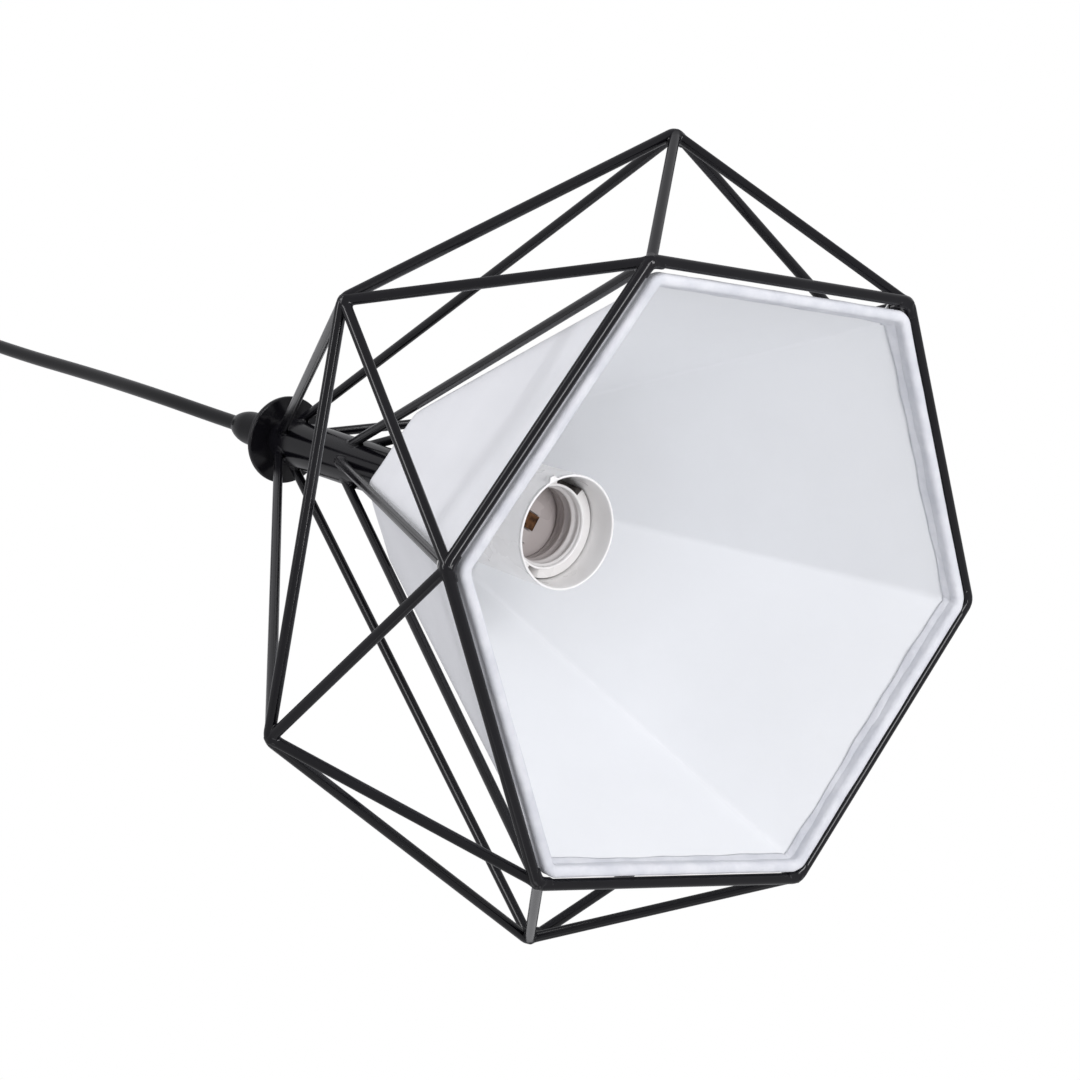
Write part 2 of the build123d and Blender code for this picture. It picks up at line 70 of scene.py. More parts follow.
camera_data = bpy.data.cameras.new("camera")
camera_data.lens = lens_mm
camera_data.sensor_width = 36.0
camera = bpy.data.objects.new("camera", camera_data)
turn = Matrix((picture_right, picture_up, -looks_along)).transposed()
camera.matrix_world = Matrix.Translation(camera_place) @ turn.to_4x4()
bpy.context.scene.collection.objects.link(camera)
bpy.context.scene.camera = camera
print("camera is", round(camera_place.length, 3), "m from the ceiling point")

# %% [markdown]
# The cord carries the lamp's weight, so it hangs almost straight. A round plastic cord keeps a
# faint memory of the coil it came in, which a spline with a few points, each a millimetre or
# two off the line, gives. The bevel of the curve makes it as thick as the cord.

# %% Cord
cord_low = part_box("cord_grip")[1].z
cord_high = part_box("canopy_grip")[0].z
cord_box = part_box("pendant_cord")
cord_d = cord_box[1].x - cord_box[0].x


def smooth_cord(name, points, diameter):
    """A round cord: a NURBS spline of order 3 that starts and ends at its end points."""
    curve = bpy.data.curves.new(name, "CURVE")
    curve.dimensions = "3D"
    curve.bevel_depth = 1.0
    curve.bevel_resolution = 8
    curve.use_fill_caps = True
    curve.resolution_u = 16
    spline = curve.splines.new("NURBS")
    spline.points.add(len(points) - 1)
    for spot, place in zip(spline.points, points):
        spot.co = (*place, 1.0)
        spot.radius = diameter / 2
    spline.order_u = 3
    spline.use_endpoint_u = True
    piece = bpy.data.objects.new(name, curve)
    bpy.context.scene.collection.objects.link(piece)
    return piece


cord_points = [
    (0, 0, cord_low - 2 * mm),
    (0, 0, cord_low + 14 * mm),
    (1.6 * mm, -1.0 * mm, cord_low + 62 * mm),
    (-0.6 * mm, 1.2 * mm, cord_low + 120 * mm),
    (-1.5 * mm, 0.4 * mm, cord_low + 180 * mm),
    (0, 0, cord_high - 14 * mm),
    (0, 0, cord_high + 2 * mm),
]
cord = smooth_cord("cord", cord_points, cord_d)
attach(cord, "cord")
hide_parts("pendant_cord")
print("cord", round((cord_high - cord_low) / mm, 1), "mm long,", round(cord_d / mm, 1), "mm thick")

# %% [markdown]
# Every new surface is a grid of points. Its rows and columns are two parameters, a formula
# gives the points as whole arrays, and this helper turns the grid into a mesh. A grid that
# closes on itself in a direction gets the faces that join its last row or column to its first.

# %% Grid to mesh


def grid_faces(rows, columns, wrap_rows, wrap_columns):
    """The four corner numbers of every cell of a grid, wrapping round where asked."""
    r = np.arange(rows if wrap_rows else rows - 1)[:, None]
    c = np.arange(columns if wrap_columns else columns - 1)[None, :]
    r2 = (r + 1) % rows
    c2 = (c + 1) % columns
    cells = [r * columns + c, r * columns + c2, r2 * columns + c2, r2 * columns + c]
    return np.stack(cells, axis=-1).reshape(-1, 4)


def surface(name, grids, body, wrap=(False, True), laid=None, materials=()):
    """One piece made of one or more point grids, each (rows, columns, 3) in metres.

    laid holds one (rows, columns, 2) array of cloth coordinates in metres for each grid.
    """
    points = np.concatenate([g.reshape(-1, 3) for g in grids])
    faces = []
    start = 0
    for g in grids:
        faces.append(grid_faces(g.shape[0], g.shape[1], *wrap) + start)
        start += g.shape[0] * g.shape[1]
    faces = np.concatenate(faces)
    mesh = bpy.data.meshes.new(name)
    mesh.vertices.add(len(points))
    mesh.vertices.foreach_set("co", points.astype(np.float32).ravel())
    mesh.loops.add(faces.size)
    mesh.loops.foreach_set("vertex_index", faces.astype(np.int32).ravel())
    mesh.polygons.add(len(faces))
    mesh.polygons.foreach_set("loop_start", np.arange(0, faces.size, 4, dtype=np.int32))
    mesh.polygons.foreach_set("use_smooth", np.ones(len(faces), dtype=bool))
    if laid is not None:
        cloth = np.concatenate([c.reshape(-1, 2) for c in laid])[faces.ravel()]
        layer = mesh.uv_layers.new(name="laid")
        layer.uv.foreach_set("vector", cloth.astype(np.float32).ravel())
    mesh.update()
    mesh.validate()
    for material in materials:
        mesh.materials.append(material)
    piece = bpy.data.objects.new(name, mesh)
    bpy.context.scene.collection.objects.link(piece)
    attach(piece, body)
    return piece


# %% [markdown]
# The cage and the shade are both drawn on hexagons with rounded corners. Each corner is an arc
# about a point a little inside the sharp corner, and each side runs straight from the end of
# one arc to the start of the next. The outward direction at a point is the arc's own angle.

# %% Rounded hexagon
corner_share = 1 / cos(radians(30))


def hexagon_row(corner_r, bend_r, first_angle=0.0, bend_steps=8, side_steps=30):
    """Points and outward directions round hexagons whose corners are rounded.

    corner_r and bend_r may be arrays, one entry for each row. A corner's arc is
    centre + bend_r (cos t, sin t), where t sweeps 60 degrees and the centre lies
    corner_r - bend_r / cos(30) from the axis.
    """
    corner_r = np.atleast_1d(corner_r).astype(float)[:, None, None]
    bend_r = np.broadcast_to(np.atleast_1d(bend_r).astype(float)[:, None, None], corner_r.shape)
    corner = np.radians(first_angle + 60 * np.arange(6))[None, :, None]
    sweep = np.radians(np.linspace(-30, 30, bend_steps + 1))[None, None, :]
    out = corner + sweep
    reach = corner_r - bend_r * corner_share
    x = reach * np.cos(corner) + bend_r * np.cos(out)
    y = reach * np.sin(corner) + bend_r * np.sin(out)
    share = np.linspace(0, 1, side_steps + 1)[1:-1]
    next_x, next_y = np.roll(x[:, :, 0], -1, 1), np.roll(y[:, :, 0], -1, 1)
    side_x = x[:, :, -1:] + (next_x[:, :, None] - x[:, :, -1:]) * share
    side_y = y[:, :, -1:] + (next_y[:, :, None] - y[:, :, -1:]) * share
    side_out = np.broadcast_to(out[:, :, -1:], (1, 6, len(share)))
    rows = len(corner_r)
    x = np.concatenate([x, side_x], axis=2).reshape(rows, -1)
    y = np.concatenate([y, side_y], axis=2).reshape(rows, -1)
    out = np.concatenate([out, side_out], axis=2).reshape(-1)
    return x, y, np.cos(out), np.sin(out)


def ring_from_box(node):
    """Sharp corner radius, wire radius and height of a wire ring, read from its box.

    The ring's flat sides face y, so the sharp corner lies at the side's distance / cos(30).
    """
    low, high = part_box(node)
    wire_r = (high.z - low.z) / 2
    return (high.y - wire_r) * corner_share, wire_r, (high.z + low.z) / 2


rim_r, rim_wire_r, rim_z = ring_from_box("rim_ring")
hem_corner_r, hem_r, hem_z = ring_from_box("shade_hem")
top_wire_corner_r, top_wire_r, _ = ring_from_box("shade_top_wire")
print("lower ring", round(2 * rim_r / mm, 1), "mm across corners")

# %% [markdown]
# Materials share a few effects, and each effect is a node group that is built once. Powder
# coat, moulded plastic and thread all have a fine uneven grain, which is two sizes of noise
# added up and used as a height for a bump.

# %% Node helpers


def node_of(tree, kind, **settings):
    """A node of a kind, with its settings, and its inputs given by name in `inputs`."""
    inputs = settings.pop("inputs", {})
    node = tree.nodes.new(kind)
    for key, value in settings.items():
        setattr(node, key, value)
    for key, value in inputs.items():
        if isinstance(value, bpy.types.NodeSocket):
            tree.links.new(value, node.inputs[key])
        else:
            node.inputs[key].default_value = value
    return node


def new_group(name, takes, gives):
    """An empty node group with float or vector inputs and outputs."""
    group = bpy.data.node_groups.new(name, "ShaderNodeTree")
    for label, kind, value in takes:
        socket = group.interface.new_socket(name=label, in_out="INPUT", socket_type=kind)
        if value is not None:
            socket.default_value = value
    for label, kind in gives:
        group.interface.new_socket(name=label, in_out="OUTPUT", socket_type=kind)
    start = group.nodes.new("NodeGroupInput")
    end = group.nodes.new("NodeGroupOutput")
    return group, start, end


def maths(tree, operation, a, b=0.0):
    """One sum of two values or sockets."""
    return node_of(tree, "ShaderNodeMath", operation=operation, inputs={0: a, 1: b}).outputs[0]


# %% Grain group: a fine and a coarse noise
grain, grain_in, grain_out = new_group(
    "grain",
    [
        ("Place", "NodeSocketVector", None),
        ("Fine per metre", "NodeSocketFloat", 2500.0),
        ("Coarse per metre", "NodeSocketFloat", 60.0),
    ],
    [("Height", "NodeSocketFloat"), ("Blotch", "NodeSocketFloat")],
)
fine_noise = node_of(
    grain,
    "ShaderNodeTexNoise",
    inputs={
        "Vector": grain_in.outputs["Place"],
        "Scale": grain_in.outputs["Fine per metre"],
        "Detail": 2.0,
        "Roughness": 0.5,
    },
)
coarse_noise = node_of(
    grain,
    "ShaderNodeTexNoise",
    inputs={
        "Vector": grain_in.outputs["Place"],
        "Scale": grain_in.outputs["Coarse per metre"],
        "Detail": 3.0,
        "Roughness": 0.55,
    },
)
grain_height = maths(
    grain, "ADD", fine_noise.outputs["Fac"], maths(grain, "MULTIPLY", coarse_noise.outputs["Fac"], 0.6)
)
grain.links.new(grain_height, grain_out.inputs["Height"])
grain.links.new(coarse_noise.outputs["Fac"], grain_out.inputs["Blotch"])

# %% Weave group: two sets of threads that cross over and under
weave, weave_in, weave_out = new_group(
    "weave",
    [("Laid", "NodeSocketVector", None), ("Threads per metre", "NodeSocketFloat", 2200.0)],
    [("Height", "NodeSocketFloat"), ("Gap", "NodeSocketFloat")],
)
parts = node_of(weave, "ShaderNodeSeparateXYZ", inputs={0: weave_in.outputs["Laid"]})
thread_angle = maths(weave, "MULTIPLY", weave_in.outputs["Threads per metre"], pi)
warp = maths(weave, "SINE", maths(weave, "MULTIPLY", parts.outputs["X"], thread_angle))
weft = maths(weave, "SINE", maths(weave, "MULTIPLY", parts.outputs["Y"], thread_angle))
over = maths(weave, "MULTIPLY", warp, weft)
round_threads = maths(weave, "MULTIPLY", maths(weave, "ABSOLUTE", warp), maths(weave, "ABSOLUTE", weft))
weave_height = maths(weave, "ADD", round_threads, maths(weave, "MULTIPLY", over, 0.25))
weave.links.new(weave_height, weave_out.inputs["Height"])
weave.links.new(maths(weave, "SUBTRACT", 1.0, round_threads), weave_out.inputs["Gap"])
print("node groups:", [g.name for g in bpy.data.node_groups])

# %% [markdown]
# A finish is one Principled shader. Its colour swings a little between two tones with the
# coarse noise, its roughness swings too, and the fine noise gives the bump. Numbers that are
# the same all over are set on the shader's own sockets.

# %% Finish recipe


def mixed(tree, kind, share, a, b):
    """A blend of two colours or two values by a share."""
    node = node_of(tree, "ShaderNodeMix", data_type=kind)
    first, second, result = (6, 7, 2) if kind == "RGBA" else (2, 3, 0)
    for spot, value in ((0, share), (first, a), (second, b)):
        if isinstance(value, bpy.types.NodeSocket):
            tree.links.new(value, node.inputs[spot])
        else:
            node.inputs[spot].default_value = value
    return node.outputs[result]


def rgb(red, green, blue):
    """A colour with full alpha."""
    return (red, green, blue, 1.0)


def finish(
    name, tones, rough, fine=2500.0, coarse=60.0, bump=0.1, depth=0.0001, stretch=(1, 1, 1), **sockets
):
    """A noise-driven material: two tones, two roughnesses and a bump `depth` metres deep."""
    material = bpy.data.materials.new(name)
    material.use_nodes = True
    tree = material.node_tree
    shader = tree.nodes["Principled BSDF"]
    place = node_of(tree, "ShaderNodeTexCoord").outputs["Object"]
    if tuple(stretch) != (1, 1, 1):
        place = node_of(tree, "ShaderNodeMapping", inputs={"Vector": place, "Scale": stretch}).outputs[0]
    noise = node_of(
        tree,
        "ShaderNodeGroup",
        node_tree=grain,
        inputs={"Place": place, "Fine per metre": fine, "Coarse per metre": coarse},
    )
    swing = node_of(
        tree,
        "ShaderNodeMapRange",
        inputs={"Value": noise.outputs["Blotch"], "From Min": 0.35, "From Max": 0.65},
    )
    tree.links.new(mixed(tree, "RGBA", swing.outputs[0], *tones), shader.inputs["Base Color"])
    tree.links.new(mixed(tree, "FLOAT", swing.outputs[0], *rough), shader.inputs["Roughness"])
    lift = node_of(
        tree,
        "ShaderNodeBump",
        inputs={"Strength": bump, "Distance": depth, "Height": noise.outputs["Height"]},
    )
    tree.links.new(lift.outputs[0], shader.inputs["Normal"])
    for label, value in sockets.items():
        shader.inputs[label.replace("_", " ")].default_value = value
    return material


# %% [markdown]
# The cage is powder coated: a thick satin black skin with a very fine orange peel. It mirrors
# little when looked at straight on, so its specular level is low, and the lamps show in it as
# long soft lines. The grips are moulded plastic, and the cord is a softer, rounder black.

# %% Black finishes
coat = finish(
    "powder_coat",
    (rgb(0.0030, 0.0028, 0.0042), rgb(0.0045, 0.0042, 0.0060)),
    (0.13, 0.19),
    fine=900.0,
    coarse=45.0,
    bump=0.05,
    depth=0.0001,
    Specular_IOR_Level=0.42,
)
cup_paint = finish(
    "cup_paint",
    (rgb(0.009, 0.009, 0.010), rgb(0.013, 0.013, 0.014)),
    (0.30, 0.38),
    fine=1600.0,
    coarse=30.0,
    bump=0.15,
    Specular_IOR_Level=0.35,
)
grip_plastic = finish(
    "grip_plastic",
    (rgb(0.003, 0.003, 0.004), rgb(0.005, 0.005, 0.006)),
    (0.2, 0.28),
    fine=3200.0,
    coarse=90.0,
    bump=0.12,
    depth=0.00008,
    Specular_IOR_Level=0.2,
)
cord_pvc = finish(
    "cord_pvc",
    (rgb(0.003, 0.003, 0.004), rgb(0.005, 0.005, 0.006)),
    (0.15, 0.22),
    fine=1800.0,
    coarse=40.0,
    bump=0.04,
    stretch=(1, 1, 0.15),
    Specular_IOR_Level=0.25,
)
print("black finishes ready")

# %% [markdown]
# Metal that isn't coated is either zinc, which is bright and slightly mottled, or stamped
# brass, which browns where it is handled. Both are fully metallic, and the noise does the
# rest. Brushed zinc has its noise drawn out along one axis.

# %% Metals
zinc = finish(
    "zinc",
    (rgb(0.55, 0.55, 0.53), rgb(0.66, 0.66, 0.65)),
    (0.28, 0.42),
    fine=1200.0,
    coarse=200.0,
    bump=0.12,
    stretch=(0.2, 1, 1),
    Metallic=1.0,
)
brass = finish(
    "brass",
    (rgb(0.16, 0.08, 0.035), rgb(0.40, 0.25, 0.10)),
    (0.28, 0.48),
    fine=2200.0,
    coarse=260.0,
    bump=0.1,
    Metallic=1.0,
)
# A much darker brass for the contacts deep inside the holder: painted shade.
painted_shade_brass = finish(
    "painted_shade_brass",
    (rgb(0.03, 0.016, 0.010), rgb(0.12, 0.06, 0.03)),
    (0.3, 0.5),
    fine=2200.0,
    coarse=420.0,
    bump=0.1,
    Metallic=1.0,
)
black_screw = finish(
    "black_screw",
    (rgb(0.03, 0.03, 0.03), rgb(0.05, 0.05, 0.05)),
    (0.3, 0.4),
    fine=2600.0,
    coarse=300.0,
    bump=0.1,
    Metallic=1.0,
)

# %% [markdown]
# Inside the threaded bore and on the contact base, the holder's white plastic is painted darker and
# warmer
# with the height above the lip: painted shade deep in the bore. Outside, colour and shade stay even.

# %% White and coloured plastics
holder_plastic = finish(
    "holder_plastic",
    (rgb(0.82, 0.805, 0.79), rgb(0.86, 0.85, 0.84)),
    (0.26, 0.36),
    fine=900.0,
    coarse=70.0,
    bump=0.05,
)
# Near-black plastic for the faces in the web's slots: painted shade.
slot_painted_shade = finish(
    "slot_painted_shade",
    (rgb(0.06, 0.052, 0.048), rgb(0.10, 0.09, 0.085)),
    (0.5, 0.6),
    fine=900.0,
    coarse=150.0,
    bump=0.05,
)
bore_plastic = finish(
    "bore_plastic",
    (rgb(0.82, 0.805, 0.79), rgb(0.86, 0.85, 0.84)),
    (0.26, 0.36),
    fine=900.0,
    coarse=70.0,
    bump=0.05,
)
bore_tree = bore_plastic.node_tree
bore_shader = bore_tree.nodes["Principled BSDF"]
bore_place = node_of(bore_tree, "ShaderNodeTexCoord").outputs["Object"]
bore_height = node_of(bore_tree, "ShaderNodeSeparateXYZ", inputs={0: bore_place}).outputs["Z"]
lip_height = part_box("thread_sleeve")[0].z
# Painted shade: the bore's colour darkens and warms from 1 mm to 8 mm above the lip.
painted_shade_by_height = node_of(
    bore_tree,
    "ShaderNodeMapRange",
    inputs={
        "Value": bore_height,
        "From Min": lip_height + 1.0 * mm,
        "From Max": lip_height + 8.0 * mm,
    },
)
white_plastic = bore_shader.inputs["Base Color"].links[0].from_socket
bore_colour_with_painted_shade = mixed(bore_tree, "RGBA", painted_shade_by_height.outputs[0], white_plastic, rgb(0.42, 0.38, 0.37))
bore_tree.links.new(bore_colour_with_painted_shade, bore_shader.inputs["Base Color"])
block_plastic = finish(
    "block_plastic",
    (rgb(0.76, 0.76, 0.73), rgb(0.82, 0.82, 0.79)),
    (0.4, 0.5),
    fine=2400.0,
    coarse=120.0,
    bump=0.12,
)
nylon = finish(
    "nylon",
    (rgb(0.70, 0.70, 0.66), rgb(0.78, 0.78, 0.75)),
    (0.25, 0.35),
    fine=2400.0,
    coarse=200.0,
    bump=0.08,
    Transmission_Weight=0.35,
)
coated_wire = finish(
    "coated_wire",
    (rgb(0.78, 0.78, 0.77), rgb(0.84, 0.84, 0.83)),
    (0.35, 0.45),
    fine=1500.0,
    coarse=80.0,
    bump=0.1,
)
print("metals and plastics ready")


# %% [markdown]
# A mains cord holds one brown and one blue core. Both are one node, so the colour is chosen
# by which side of the lamp's middle a point lies on: the sign of its x decides.

# %% Core insulation
core_skin = finish(
    "core_skin",
    (rgb(0.2, 0.2, 0.2), rgb(0.2, 0.2, 0.2)),
    (0.3, 0.4),
    fine=1800.0,
    coarse=120.0,
    bump=0.08,
)
core_tree = core_skin.node_tree
core_place = node_of(core_tree, "ShaderNodeTexCoord").outputs["Object"]
core_x = node_of(core_tree, "ShaderNodeSeparateXYZ", inputs={0: core_place}).outputs["X"]
right_side = maths(core_tree, "GREATER_THAN", core_x, 0.0)
brown_or_blue = mixed(core_tree, "RGBA", right_side, rgb(0.16, 0.055, 0.02), rgb(0.02, 0.10, 0.36))
core_tree.links.new(brown_or_blue, core_tree.nodes["Principled BSDF"].inputs["Base Color"])

# %% [markdown]
# The shade is thin white cloth glued to a smooth white laminate. The cloth shows outside, with
# a weave too fine to count from a step away, and the laminate shows inside, smoother and with
# a little sheen. The weave follows the cloth's own coordinates, laid out in metres.

# %% Cloth finishes


def cloth(
    name, tones, rough, threads, weave_depth, rumple_depth, weave_bump=0.5, blotches=26.0, **sockets
):
    """White cloth: a weave on the cloth's own coordinates over a soft noise for its rumples."""
    material = finish(
        name, tones, rough, fine=420.0, coarse=blotches, bump=0.35, depth=rumple_depth, **sockets
    )
    tree = material.node_tree
    shader = tree.nodes["Principled BSDF"]
    rumples = shader.inputs["Normal"].links[0].from_node
    laid = node_of(tree, "ShaderNodeUVMap", uv_map="laid").outputs[0]
    crossed = node_of(
        tree, "ShaderNodeGroup", node_tree=weave, inputs={"Laid": laid, "Threads per metre": threads}
    )
    lift = node_of(
        tree,
        "ShaderNodeBump",
        inputs={
            "Strength": weave_bump,
            "Distance": weave_depth,
            "Height": crossed.outputs["Height"],
            "Normal": rumples.outputs[0],
        },
    )
    tree.links.new(lift.outputs[0], shader.inputs["Normal"])
    return material


shade_cloth = cloth(
    "shade_cloth",
    (rgb(0.86, 0.87, 0.90), rgb(0.88, 0.89, 0.92)),
    (0.75, 0.85),
    threads=2400.0,
    weave_depth=0.00005,
    rumple_depth=0.0002,
)
laminate = cloth(
    "laminate",
    (rgb(0.86, 0.873, 0.89), rgb(0.875, 0.888, 0.905)),
    (0.5, 0.62),
    threads=2400.0,
    weave_depth=0.00002,
    rumple_depth=0.00012,
    weave_bump=0.2,
)
hem_cloth = cloth(
    "hem_cloth",
    (rgb(0.65, 0.665, 0.71), rgb(0.76, 0.77, 0.805)),
    (0.65, 0.8),
    threads=2800.0,
    weave_depth=0.00006,
    rumple_depth=0.0006,
    blotches=110.0,
)
thread = cloth(
    "thread",
    (rgb(0.78, 0.78, 0.77), rgb(0.85, 0.85, 0.84)),
    (0.6, 0.75),
    threads=3000.0,
    weave_depth=0.00006,
    rumple_depth=0.0002,
)
print("cloth finishes ready")

# %% [markdown]
# The solids whose shapes are right stay as they are and only change their finish. The
# record's slot names say which finish a node takes.

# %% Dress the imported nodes
finish_of_slot = {
    "black_powder_coat": coat,
    "black_cup_paint": cup_paint,
    "black_grip_plastic": grip_plastic,
    "black_cord_pvc": cord_pvc,
    "clear_nylon": nylon,
    "core_insulation": core_skin,
    "zinc_plated_steel": zinc,
    "black_screw": black_screw,
    "brass": brass,
    "white_holder_plastic": holder_plastic,
    "block_plastic": block_plastic,
    "white_shade_fabric": shade_cloth,
    "white_hem_tape": hem_cloth,
    "white_coated_wire": coated_wire,
    "white_thread": thread,
}
for part in frame["record"]["subparts"]:
    dressed = frame["nodes"][part["node"]]
    dressed.data.materials.clear()
    dressed.data.materials.append(finish_of_slot[part["material_slot"]])
# The contacts and the contact base sit deep in the bore and take the darker finishes: painted shade.
for contact in ("centre_contact", "centre_contact_foot", "side_contact"):
    frame["nodes"][contact].data.materials[0] = painted_shade_brass
frame["nodes"]["contact_base"].data.materials[0] = bore_plastic
cord.data.materials.append(cord_pvc)
print(len(frame["nodes"]), "nodes dressed")

# %% [markdown]
# The shade's skin is a funnel on rounded hexagons that shrink from the hem to the top. Each
# panel is cloth stretched between two creases, so it bows in or out by a fraction of a
# millimetre. The wall is a closed shell: up the outside, over the top edge and down inside. It
# leans, so it clears the level top wire by a little more than that wire's radius, and its hem
# has slipped a fraction of a millimetre off the middle.

# %% Shade skin
skin_wall = 0.8 * mm
hem_bend_r = 4.5 * mm
top_bend_r = 5.0 * mm
crease_tightening = 2.6 * mm
shade_top_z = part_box("shade_skin")[1].z
wire_gap = 0.1 * mm
lean_factor = 1.085
top_reach = top_wire_r * lean_factor + wire_gap + skin_wall / 2
top_corner_r = top_wire_corner_r + top_reach * corner_share
skin_rows = 64
side_steps = 40
bend_steps = 10
hem_slip = np.array([-0.42, 0.17]) * mm
panel_depths = np.array([0.5, -0.45, 0.35, -0.5, 0.4, -0.3]) * mm
ripple_depth = 0.12 * mm


def panel_bow(side_share, up_share, panel):
    """How far a panel stands out from flat: a dome over the panel, larger or smaller by panel."""
    dome = np.sin(pi * side_share) * np.sin(pi * up_share) ** 0.8
    ripple = np.sin(2 * pi * side_share) * np.sin(2 * pi * up_share + panel)
    return panel_depths[panel] * dome + ripple_depth * ripple


def skin_side(offset, rows_up):
    """The funnel's points at an offset outward from the middle of the wall."""
    share = np.linspace(0, 1, rows_up)
    corner_r = hem_corner_r + (top_corner_r - hem_corner_r) * share + offset * corner_share
    bend_r = hem_bend_r + (top_bend_r - hem_bend_r) * share + offset
    bend_r = bend_r - crease_tightening * np.sqrt(np.sin(pi * share))
    x, y, out_x, out_y = hexagon_row(corner_r, bend_r, 0, bend_steps, side_steps)
    column = np.arange(x.shape[1])
    per_side = bend_steps + side_steps
    panel = column // per_side
    side_share = np.clip((column % per_side - bend_steps) / side_steps, 0, 1)
    bow = panel_bow(side_share[None, :], share[:, None], panel[None, :])
    z = np.broadcast_to((hem_z + (shade_top_z - hem_z) * share)[:, None], x.shape)
    slip = hem_slip[:, None, None] * (1 - share)[None, :, None]
    return np.stack([x + out_x * bow + slip[0], y + out_y * bow + slip[1], z], axis=-1)


def laid_on(points):
    """Cloth coordinates in metres: the distance round a row, and the distance up a column."""
    across = np.linalg.norm(np.diff(points, axis=1, prepend=points[:, -1:]), axis=2)
    across[:, 0] = 0
    along = np.linalg.norm(np.diff(points, axis=0, prepend=points[:1]), axis=2)
    return np.stack([np.cumsum(across, axis=1), np.cumsum(along, axis=0)], axis=-1)


outside = skin_side(skin_wall / 2, skin_rows)
inside = skin_side(-skin_wall / 2, skin_rows)[::-1]
skin_points = np.concatenate([outside, inside])
shade_skin = surface(
    "shade_cloth_skin",
    [skin_points],
    "lamp",
    wrap=(True, True),
    laid=[laid_on(skin_points)],
    materials=[shade_cloth, laminate],
)
per_row = skin_points.shape[1]
inner_face = (np.arange(len(shade_skin.data.polygons)) // per_row >= skin_rows).astype(np.int32)
shade_skin.data.polygons.foreach_set("material_index", inner_face)
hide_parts("shade_skin")

# %% [markdown]
# The hem is the cloth's edge rolled over a wire and taped. The roll is a tube carried round
# the hexagon. Its radius grows towards the top of the turn, which makes it a drop with flat
# sides, and it wavers where the tape is pulled tight or laps over itself.

# %% Rolled hem
roll_steps = 20


def tube_round(corner_r, bend_r, z, radius, first_angle=0.0, rows=roll_steps):
    """A tube round a rounded hexagon, its sides flattened by a power of cos t below one."""
    x, y, out_x, out_y = hexagon_row(corner_r, bend_r, first_angle, bend_steps, side_steps)
    t = np.linspace(0, 2 * pi, rows, endpoint=False)[:, None]
    reach = radius * np.sign(np.cos(t)) * np.abs(np.cos(t)) ** 0.75
    x, y = x + hem_slip[0], y + hem_slip[1]
    return np.stack([x + reach * out_x, y + reach * out_y, z + radius * np.sin(t)], axis=-1)


def corner_flap(at_corner, half_width):
    """A hump of height 1 at one corner of the hem that falls away on both sides."""
    away = np.arange(hem_columns) - at_corner * (bend_steps + side_steps) - bend_steps / 2
    away = (away + hem_columns / 2) % hem_columns - hem_columns / 2
    return np.exp(-((away / half_width) ** 2))


hem_columns = 6 * (bend_steps + side_steps)
column = np.arange(hem_columns)[None, :]
roll_angle = np.linspace(0, 2 * pi, roll_steps, endpoint=False)[:, None]
dimple = np.sin(column * 0.9 + 2 * roll_angle) * np.sin(column * 0.23 + 1.3)
waver = np.sin(2 * pi * column / hem_columns * 17 + roll_angle)
pucker = np.sin(column * 0.61 + 3 * roll_angle) * np.sin(column * 0.137 + roll_angle)
hem_turn = 2 * pi * column / hem_columns
slow_waves = 0.16 * np.sin(5 * hem_turn + 0.7) + 0.12 * np.sin(13 * hem_turn + 2.0)
fold = 0.95 + slow_waves + 0.08 * np.sin(37 * hem_turn)
fold = fold * np.maximum(np.sin(roll_angle), 0.0) ** 4
hem_radius = hem_r * (1.0 + 0.022 * dimple + 0.018 * waver + 0.022 * pucker + fold)
hem_points = tube_round(hem_corner_r, hem_bend_r, hem_z, hem_radius)
hem = surface(
    "rolled_hem",
    [hem_points],
    "lamp",
    wrap=(True, True),
    laid=[laid_on(hem_points)],
    materials=[hem_cloth],
)
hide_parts("shade_hem")
print("hem", round(2 * hem_r / mm, 2), "mm thick")

# %% [markdown]
# The tape is wider than the roll: a strip of it lies flat on the wall on each side, above the
# roll, and its cut edge wanders. Each strip is a thin closed band a fraction of a millimetre
# proud of the wall. Its upper edge is a sum of slow waves round the shade and two corner flaps,
# where the tape was folded over, and faster waves wrinkle its face.

# %% Tape strips on both sides of the hem
tape_t = 0.3 * mm
wave_height = 0.28 * mm
flap_height = 2.2 * mm
puff_height = 0.12 * mm
wrinkle_height = 0.1 * mm


def tape_strip(name, side, low, high, proud, seed):
    """A thin band on the wall; side is 1 for outside and -1 for inside, heights above the hem."""
    turn = np.arange(hem_columns) / hem_columns * 2 * pi
    waves = np.sin(7 * turn + seed) + 0.6 * np.sin(19 * turn + 2 * seed)
    waves = waves + 0.5 * np.sin(43 * turn + 3 * seed)
    flaps = corner_flap(1, 9) + 0.5 * corner_flap(4, 6)
    top_edge = high + wave_height * waves + flap_height * flaps
    share = np.linspace(0, 1, 7)[:, None]
    height = low + (top_edge - low)[None, :] * share
    lean = (top_corner_r - hem_corner_r) / (shade_top_z - hem_z)
    puff = puff_height * np.sin(pi * share) * (1 + np.sin(31 * turn + 5 * seed))[None, :]
    puff = puff + wrinkle_height * np.sin(71 * turn + 9 * share + seed) * np.sin(pi * share)
    faces = []
    for depth in (proud + puff, np.full_like(puff, proud - tape_t)):
        wall = skin_wall / 2 + depth
        x, y, out_x, out_y = hexagon_row(hem_corner_r, hem_bend_r, 0, bend_steps, side_steps)
        reach = side * wall + lean * height / corner_share
        x, y = x + hem_slip[0], y + hem_slip[1]
        faces.append(np.stack([x + out_x * reach, y + out_y * reach, hem_z + height], axis=-1))
    band = np.concatenate([faces[0], faces[1][::-1]])
    if side < 0:
        band = band[::-1]
    strip = surface(
        name, [band], "lamp", wrap=(True, True), laid=[laid_on(band)], materials=[hem_cloth]
    )


tape_strip("outer_tape", 1, 0.9 * mm, 4.8 * mm, 0.35 * mm, 1.0)
tape_strip("inner_tape", -1, 0.9 * mm, 4.6 * mm, 0.3 * mm, 2.6)
print("tape strips laid")
